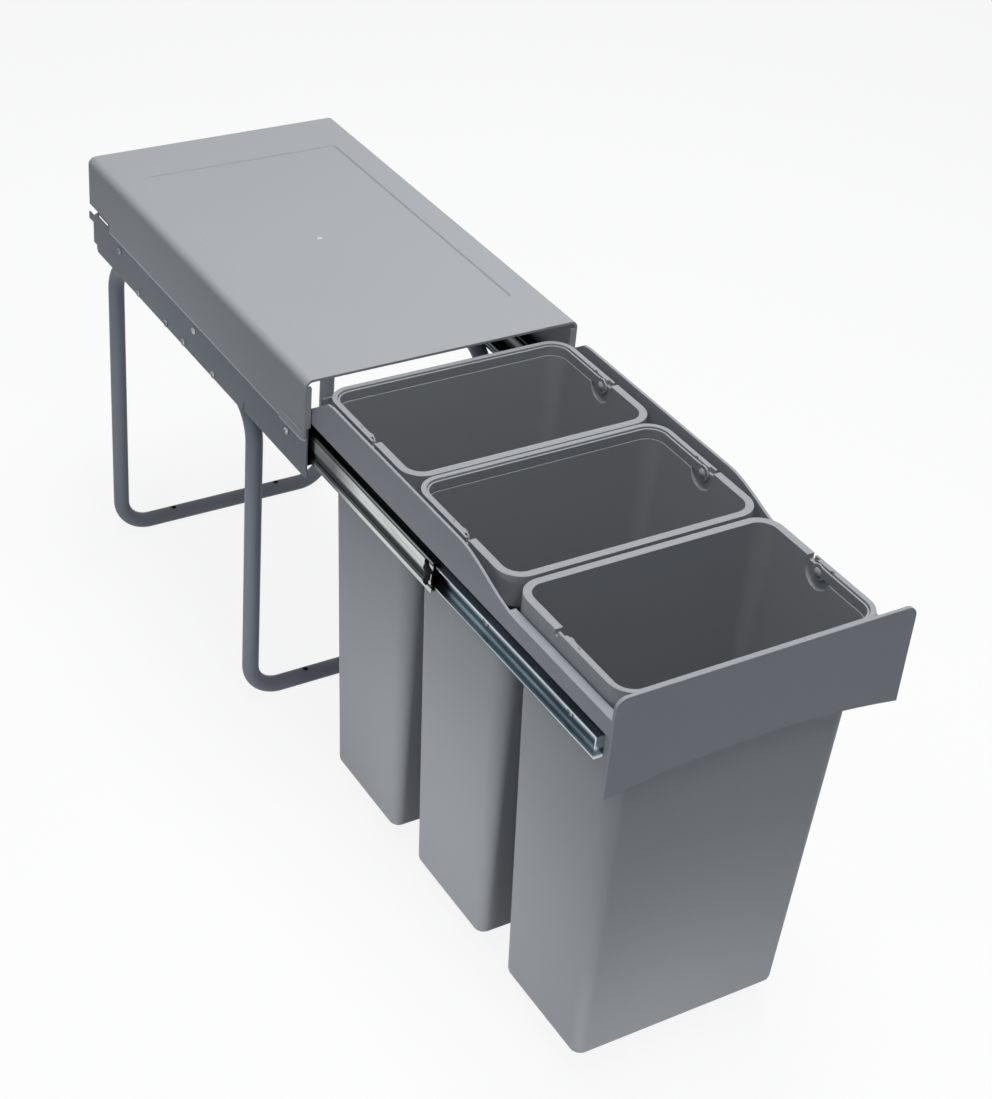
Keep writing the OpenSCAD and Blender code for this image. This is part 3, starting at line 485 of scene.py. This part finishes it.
def banded_material(name, bands, drift, rough, painted_shade=None):
    """Rolled strip whose colour runs in bands by height, painted light and shade; a band is its height in mm
    from the axis, and its colour.

    The last argument gives the place along the runner where a painted shade begins, the place where it is
    full, and its tone."""
    material = bpy.data.materials.new(name)
    material.use_nodes = True
    tree = material.node_tree
    bsdf = tree.nodes["Principled BSDF"]
    bsdf.inputs["Metallic"].default_value = 1.0
    bsdf.inputs["Specular Tint"].default_value = GLANCING
    surface = tree.nodes.new("ShaderNodeGroup")
    surface.node_tree = strip
    ramp = tree.nodes.new("ShaderNodeValToRGB")
    stops = ramp.color_ramp.elements
    while len(stops) < len(bands):
        stops.new(1.0)
    for stop, (level, colour) in zip(stops, bands):
        stop.position = 0.5 + 0.5 * level / (1000 * BAND_HALF)
        stop.color = (*colour, 1)
    tree.links.new(surface.outputs["Height"], ramp.inputs["Fac"])
    drifted = ranged(tree, surface.outputs["Drift"], DRIFT_LIMITS, drift)
    streaked = ranged(tree, surface.outputs["Marks"], NOISE_LIMITS, STREAK_SHARE)
    tone = multiplied(tree, drifted, streaked)
    if painted_shade is not None:
        shade_share = ranged(tree, surface.outputs["Along"], painted_shade[:2], (1.0, painted_shade[2]))
        tone = multiplied(tree, tone, shade_share)
    shaded = tree.nodes.new("ShaderNodeVectorMath")
    shaded.operation = "SCALE"
    tree.links.new(ramp.outputs["Color"], shaded.inputs[0])
    tree.links.new(tone, shaded.inputs["Scale"])
    tree.links.new(shaded.outputs["Vector"], bsdf.inputs["Base Color"])
    gloss = ranged(tree, surface.outputs["Marks"], NOISE_LIMITS, rough)
    tree.links.new(gloss, bsdf.inputs["Roughness"])
    bump = tree.nodes.new("ShaderNodeBump")
    bump.inputs["Distance"].default_value = MARK_DEPTH
    bump.inputs["Strength"].default_value = MARK_STRENGTH
    tree.links.new(surface.outputs["Marks"], bump.inputs["Height"])
    tree.links.new(bump.outputs["Normal"], bsdf.inputs["Normal"])
    return material


# The strip's tones: bright for painted highlights and reflections, satin, dull, dark for painted shade
# beside a lip, and near black for painted shade in gaps and grooves
STEEL_BRIGHT = (0.72, 0.76, 0.74)
STEEL_SATIN = (0.58, 0.62, 0.60)
STEEL_DULL = (0.24, 0.26, 0.26)
STEEL_DARK = (0.06, 0.07, 0.07)
ZINC_BRIGHT = (0.66, 0.72, 0.76)
ZINC_SATIN = (0.45, 0.52, 0.56)
ZINC_DULL = (0.20, 0.23, 0.26)
ZINC_DARK = (0.10, 0.14, 0.17)
PAINTED_SHADE_BLACK = (0.012, 0.015, 0.018)
# Lower flange, pressed groove in painted shade, web with a worn line along it, then the upper flange in
# painted shade; the bright bands are painted highlights and reflections
MIDDLE_BANDS = (
    (-15.0, STEEL_DULL), (-14.2, STEEL_SATIN), (-10.6, STEEL_BRIGHT),
    (-9.9, STEEL_DARK), (-7.0, STEEL_DARK), (-6.0, PAINTED_SHADE_BLACK), (-1.6, PAINTED_SHADE_BLACK),
    (1.4, STEEL_BRIGHT), (3.8, STEEL_SATIN), (6.2, STEEL_BRIGHT), (9.4, STEEL_BRIGHT),
    (10.2, STEEL_DARK), (11.4, STEEL_DARK), (12.2, STEEL_DULL), (13.0, STEEL_DULL), (13.6, PAINTED_SHADE_BLACK))
# Painted highlight on the edge of the lower flange, the web in painted shade above it and painted reflection
# higher up, then the upper flange
INNER_BANDS = (
    (-9.4, ZINC_DULL), (-9.2, ZINC_BRIGHT), (-8.8, ZINC_BRIGHT), (-8.6, ZINC_SATIN), (-7.6, ZINC_SATIN),
    (-6.0, ZINC_DARK), (-2.6, ZINC_DARK), (0.2, ZINC_BRIGHT), (9.15, ZINC_BRIGHT), (9.35, ZINC_DULL))
# The channel's two ball tracks are dull, the web between them and its edges dark with painted shade
OUTER_BANDS = (
    (-15.0, ZINC_DARK), (-10.0, ZINC_DULL), (-6.0, ZINC_DARK),
    (6.0, ZINC_DARK), (10.0, ZINC_DULL), (13.5, ZINC_DARK), (14.9, PAINTED_SHADE_BLACK))
RUNNER_EDGE = 0.00025
BALL_BANDS = ((-15.0, (0.62, 0.64, 0.66)), (15.0, (0.70, 0.72, 0.73)))
CAGE_BANDS = ((-15.0, (0.22, 0.23, 0.24)), (15.0, (0.30, 0.31, 0.32)))
# The middle runners are painted darker towards the back, where they run in under the cover: painted shade.
MIDDLE_REAR_SHADE = (-0.345, -0.300, 0.22)
middle_plate = banded_material(
    "middle_plate", MIDDLE_BANDS, drift=(0.74, 1.08), rough=(0.16, 0.30), painted_shade=MIDDLE_REAR_SHADE)
inner_plate = banded_material("inner_plate", INNER_BANDS, drift=(0.62, 1.30), rough=(0.14, 0.28))
outer_plate = banded_material("outer_plate", OUTER_BANDS, drift=(0.75, 1.20), rough=(0.16, 0.30))
ball_plate = banded_material("ball_plate", BALL_BANDS, drift=(0.95, 1.05), rough=(0.06, 0.12))
cage_plate = banded_material("cage_plate", CAGE_BANDS, drift=(0.80, 1.10), rough=(0.25, 0.40))
for side in ("left", "right"):
    outer = softened(side + "_outer_runner", side + "_outer_channel", RUNNER_EDGE, flat=PLAIN_FLAT)
    stand_for(outer, side + "_outer_runner", "frame_and_cover", outer_plate)
    middle = softened(side + "_middle_runner", side + "_middle_channel", RUNNER_EDGE, flat=PLAIN_FLAT)
    stand_for(middle, side + "_middle_runner", side + "_middle_runner", middle_plate)
    inner = softened(side + "_inner_runner", side + "_inner_channel", RUNNER_EDGE, flat=PLAIN_FLAT)
    stand_for(inner, side + "_inner_runner", "carriage", inner_plate)
    for part in ("_outer_cage", "_inner_cage"):
        finish(nodes[side + part], cage_plate)
    for part in ("_outer_balls", "_inner_balls"):
        finish(nodes[side + part], ball_plate)


# Runner stops
# A black moulded clip is pressed into the front end of each middle runner and shows as a bent bar.
# A thin bright tab and a round bright pin stand beside it on the same end.
STOP_DARK = (0.006, 0.006, 0.007, 1)
STOP_LIGHT = (0.011, 0.011, 0.012, 1)
STOP_FRONT_Y = -0.45495
STOP_BACK_X = 0.1188
STOP_FACE_X = 0.1202
STOP_EDGE = 0.00025
STOP_IOR = 1.15
# The bent bar from foot to head: mm above the runner's axis, then how many mm its two edges
# lie behind the runner's front end
STOP_BAR = (
    (-10.8, 6.4, 9.6), (-9.6, 5.7, 11.3), (-7.6, 4.9, 10.7), (-4.5, 4.2, 8.9),
    (-1.4, 2.1, 7.2), (0.4, 1.2, 9.6), (2.0, 0.4, 11.9), (3.6, -0.4, 11.6),
    (6.0, -0.2, 10.3), (6.6, 4.3, 10.2), (8.5, 6.0, 10.4), (10.4, 7.2, 10.2))
stop_plastic = skinned_material(
    "stop_plastic", STOP_DARK, STOP_LIGHT, grain=1600.0, patches=30.0, depth=0.00004, rough=(0.35, 0.45),
    scuffs=0.03, sheen=0.12)
stop_plastic.node_tree.nodes["Principled BSDF"].inputs["IOR"].default_value = STOP_IOR


def rounded_off(piece, radius):
    """Rounds the sharp edges of a new piece and smooths it."""
    bpy.ops.object.select_all(action="DESELECT")
    piece.select_set(True)
    bpy.context.view_layer.objects.active = piece
    rounding = piece.modifiers.new("rounding", "BEVEL")
    rounding.width = radius
    rounding.segments = ROUND_STEPS
    rounding.limit_method = "ANGLE"
    rounding.angle_limit = SHARP
    bpy.ops.object.modifier_apply(modifier=rounding.name)
    bpy.ops.object.shade_smooth_by_angle(angle=SMOOTH)


def picked(piece, chosen):
    """Opens a piece for editing with only the chosen corners selected."""
    bpy.ops.object.mode_set(mode="EDIT")
    bpy.ops.mesh.select_mode(type="VERT")
    bpy.ops.mesh.select_all(action="DESELECT")
    bpy.ops.object.mode_set(mode="OBJECT")
    for corner in piece.data.vertices:
        corner.select = chosen(corner.co)
    bpy.ops.object.mode_set(mode="EDIT")


def flat_bar(name, stations, near_x, far_x):
    """A flat bar drawn up edge by edge through its stations, then given its thickness along X."""
    rows = [(RUNNER_AXIS_Z + v / 1000, STOP_FRONT_Y + (a + b) / 2000, (b - a) / 1000)
            for v, a, b in stations]
    (low, first_y, first_wide), (high, next_y, next_wide) = rows[:2]
    bpy.ops.object.select_all(action="DESELECT")
    bpy.ops.mesh.primitive_plane_add(
        size=1, location=(near_x, first_y, (low + high) / 2), rotation=(0, math.pi / 2, 0))
    piece = bpy.context.object
    piece.name = name
    piece.scale = (high - low, first_wide, 1)
    bpy.ops.object.transform_apply(location=True, rotation=True, scale=True)
    picked(piece, lambda place: place.z > (low + high) / 2)
    bpy.ops.transform.resize(value=(1, next_wide / first_wide, 1), center_override=(near_x, first_y, high))
    bpy.ops.transform.translate(value=(0, next_y - first_y, 0))
    for (z, y, wide), (next_z, next_y, next_wide) in zip(rows[1:], rows[2:]):
        bpy.ops.mesh.extrude_region_move(TRANSFORM_OT_translate={"value": (0, next_y - y, next_z - z)})
        bpy.ops.transform.resize(value=(1, next_wide / wide, 1), center_override=(near_x, next_y, next_z))
    bpy.ops.mesh.select_all(action="SELECT")
    bpy.ops.mesh.extrude_region_move(TRANSFORM_OT_translate={"value": (far_x - near_x, 0, 0)})
    bpy.ops.mesh.select_all(action="SELECT")
    bpy.ops.mesh.normals_make_consistent(inside=False)
    bpy.ops.object.mode_set(mode="OBJECT")
    return piece


# The pin from its hollow middle out and down to its foot: height and radius
PIN_PROFILE = (
    (0.0002, 0.0007), (0.0008, 0.0009), (0.0009, 0.0012), (0.0006, 0.0016), (0.0, 0.0017), (-0.0008, 0.0017))
TAB_BAR = ((-3.9, 0.25, 0.90), (-1.6, -0.10, 0.60), (0.8, -0.45, 0.25), (3.6, -0.45, 0.25))
TAB_FACE_X = 0.1201
TAB_EDGE = 0.0001
PIN_STEPS = 28
PIN_X = 0.1193
PIN_BEHIND = 0.0014
PIN_BELOW = 0.0050
for side, sign in (("left", -1), ("right", 1)):
    finish(nodes[side + "_runner_stop"], stop_plastic)
    clip = flat_bar(side + "_stop_clip", STOP_BAR, sign * STOP_BACK_X, sign * STOP_FACE_X)
    rounded_off(clip, STOP_EDGE)
    finish(clip, stop_plastic)
    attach(clip, side + "_middle_runner")
    tab = flat_bar(side + "_stop_tab", TAB_BAR, sign * STOP_BACK_X, sign * TAB_FACE_X)
    rounded_off(tab, TAB_EDGE)
    finish(tab, ball_plate)
    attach(tab, side + "_middle_runner")
    pin = turned(side + "_stop_pin", PIN_PROFILE, PIN_STEPS)
    pin.data.transform(
        Matrix.Translation((sign * PIN_X, STOP_FRONT_Y + PIN_BEHIND, RUNNER_AXIS_Z - PIN_BELOW))
        @ Matrix.Rotation(0.0 if sign > 0 else math.pi, 4, "Z"))
    finish(pin, ball_plate)
    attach(pin, side + "_middle_runner")


# Screws
# Small zinc-plated screws with a domed head and a cross recess.
# They hold the outer runners and legs to the rails, and the inner runners and panel to the carriage.
HEAD_R = 0.0035
HEAD_H = 0.0016
SHANK_R = 0.0020
RECESS_WIDE = 0.0007
RECESS_LONG = 0.0020
RECESS_DEEP = 0.0012
RECESS_FOOT = 1.1
SCREW_STEPS = 32
SCREW_SMOOTH = math.radians(30)
DOME_DEGREES = range(12, 85, 12)
DOME_FLATTEN = 0.8
HEAD_RIM = 0.0003
UNDER_BEVEL = 0.0002
TIP_BEVEL = 0.0004
# The screws' plating is painted lighter the higher it sits and flecked at random with light, as painted
# shading and painted glints.
SCREW_BANDS = ((-15.0, (0.21, 0.22, 0.245)), (15.0, (0.30, 0.315, 0.34)))
# The runner screws are painted a little darker and evener, as painted shade inside their runners.
SHADED_SCREW_BANDS = ((-15.0, (0.20, 0.22, 0.24)), (15.0, (0.28, 0.30, 0.32)))
screw_plate = banded_material("screw_plate", SCREW_BANDS, drift=(0.40, 1.90), rough=(0.08, 0.16))
shaded_screw_plate = banded_material(
    "shaded_screw_plate", SHADED_SCREW_BANDS, drift=(0.70, 1.20), rough=(0.14, 0.26))


def cross_screw(name, length):
    """A screw whose head's underside is at the origin; the shank points along -X."""
    dome = [(HEAD_H * math.cos(math.radians(a)) ** DOME_FLATTEN, HEAD_R * math.sin(math.radians(a)))
            for a in DOME_DEGREES]
    profile = dome + [
        (HEAD_RIM, HEAD_R), (0.0, HEAD_R - UNDER_BEVEL), (0.0, SHANK_R), (TIP_BEVEL - length, SHANK_R),
        (-length, SHANK_R - TIP_BEVEL)]
    screw = turned(name, profile, SCREW_STEPS)
    top, deep = HEAD_H * 2, HEAD_H - RECESS_DEEP
    for wide, tall in ((RECESS_WIDE / 2, RECESS_LONG), (RECESS_LONG, RECESS_WIDE / 2)):
        bpy.ops.object.select_all(action="DESELECT")
        bpy.ops.mesh.primitive_cube_add(size=1, location=((deep + top) / 2, 0, 0))
        cutter = bpy.context.object
        cutter.scale = (top - deep, RECESS_FOOT * wide, RECESS_FOOT * tall)
        bpy.ops.object.transform_apply(location=True, rotation=True, scale=True)
        picked(cutter, lambda place: place.x > (deep + top) / 2)
        bpy.ops.transform.resize(value=(1, 2, 2), center_override=(top, 0, 0))
        bpy.ops.object.mode_set(mode="OBJECT")
        bpy.ops.object.select_all(action="DESELECT")
        screw.select_set(True)
        bpy.context.view_layer.objects.active = screw
        recess = screw.modifiers.new("recess", "BOOLEAN")
        recess.operation = "DIFFERENCE"
        recess.solver = "EXACT"
        recess.object = cutter
        bpy.ops.object.modifier_apply(modifier=recess.name)
        bpy.data.objects.remove(cutter)
    bpy.ops.object.shade_smooth_by_angle(angle=SCREW_SMOOTH)
    return screw


def set_in(screw, places, node, body, material):
    """Copies the screw to its places, each with its own turn, and joins the copies into one piece."""
    copies = []
    for place, turn, twist in places:
        one = screw.copy()
        one.data = screw.data.copy()
        bpy.context.scene.collection.objects.link(one)
        one.data.transform(
            Matrix.Translation(place)
            @ Matrix.Rotation(turn, 4, "Z")
            @ Matrix.Rotation(math.radians(twist), 4, "X"))
        copies.append(one)
    bpy.data.objects.remove(screw)
    bpy.ops.object.select_all(action="DESELECT")
    for one in copies:
        one.select_set(True)
    bpy.context.view_layer.objects.active = copies[0]
    bpy.ops.object.join()
    piece = bpy.context.object
    piece.name = node + "_cross_heads"
    stand_for(piece, node, body, material)


FIRST_TWIST = 17
NEXT_TWIST = 31
PANEL_TWIST = 25


def both_sides(x, ys, z):
    """Places at the same heights on the left and on the right, heads outwards, each twisted its own way."""
    return [((sign * x, y, z), 0.0 if sign > 0 else math.pi, FIRST_TWIST + NEXT_TWIST * k)
            for sign in (-1, 1) for k, y in enumerate(ys)]


RAIL_FACE_X = 0.1232
RAIL_SCREW_Z = 0.3316
RAIL_SCREWS_Y = (-0.22446, -0.04584, 0.11523)
RAIL_SCREW_LONG = 0.0027
LEG_SCREW_Z = 0.3090
LEG_SCREWS_Y = (0.074, 0.013, -0.024, -0.085)
LEG_SCREW_LONG = 0.0060
RUNNER_FACE_X = 0.1109
RUNNER_SCREWS_Y = (-0.6321, -0.51938, -0.34082)
RUNNER_SCREW_LONG = 0.0037
PANEL_FACE_Y = -0.6929
PANEL_SCREWS_XZ = ((-0.088, 0.3387), (-0.088, 0.3697), (0.088, 0.3387), (0.088, 0.3697))
PANEL_SCREW_LONG = 0.0050
panel_places = [((x, PANEL_FACE_Y, z), math.pi / 2, PANEL_TWIST * k)
                for k, (x, z) in enumerate(PANEL_SCREWS_XZ)]
set_in(cross_screw("rail_screw", RAIL_SCREW_LONG), both_sides(RAIL_FACE_X, RAIL_SCREWS_Y, RAIL_SCREW_Z),
       "rail_screws", "frame_and_cover", screw_plate)
set_in(cross_screw("leg_screw", LEG_SCREW_LONG), both_sides(RAIL_FACE_X, LEG_SCREWS_Y, LEG_SCREW_Z),
       "leg_screws", "frame_and_cover", screw_plate)
set_in(cross_screw("runner_screw", RUNNER_SCREW_LONG),
       both_sides(RUNNER_FACE_X, RUNNER_SCREWS_Y, RUNNER_AXIS_Z),
       "runner_screws", "carriage", shaded_screw_plate)
set_in(cross_screw("panel_screw", PANEL_SCREW_LONG), panel_places,
       "panel_screws", "carriage", screw_plate)


# Carriage and front panel
# One moulded frame carries the bins by their rims; the thin panel is screwed to its front.
# Both are grey plastic, a little darker than the cover's.
CARRIAGE_EDGE = 0.0004
CARRIAGE_DARK = (0.326, 0.341, 0.368, 1)
CARRIAGE_LIGHT = (0.356, 0.371, 0.399, 1)
carriage_plastic = skinned_material(
    "carriage_plastic", CARRIAGE_DARK, CARRIAGE_LIGHT, grain=1300.0, patches=7.0, depth=0.00005,
    rough=(0.50, 0.58), scuffs=0.05)
tray = softened("carriage", "carriage_moulding", CARRIAGE_EDGE)
stand_for(tray, "carriage", "carriage", carriage_plastic)
front = softened("front_panel", "front_panel_plate", CARRIAGE_EDGE)
stand_for(front, "front_panel", "carriage", carriage_plastic)


# Bins
# Injection moulded, drawn in towards the floor, with a wide rim that hides the bail's pocket.
# The plastic is a little darker than the cover's and has a little more gloss.
BIN_EDGE = 0.0004
BIN_DARK = (0.330, 0.341, 0.360, 1)
BIN_LIGHT = (0.363, 0.374, 0.393, 1)
bin_plastic = skinned_material(
    "bin_plastic", BIN_DARK, BIN_LIGHT, grain=1500.0, patches=5.0, depth=0.00004,
    rough=(0.48, 0.56), scuffs=0.05)
for place in ("rear", "middle", "front"):
    shell = softened(place + "_bin", place + "_bin_moulding", BIN_EDGE)
    stand_for(shell, place + "_bin", place + "_bin", bin_plastic)


# Bail handles and their pivots
# Each is a plastic strip on edge that lies in its bin's rim.
# A round-headed button at each side holds it, and it swings up about the two.
HANDLE_EDGE = 0.0003
for place in ("rear", "middle", "front"):
    bail = softened(place + "_handle", place + "_bail", HANDLE_EDGE)
    stand_for(bail, place + "_handle", place + "_handle", bin_plastic)
    finish(nodes[place + "_bin_pivots"], bin_plastic)
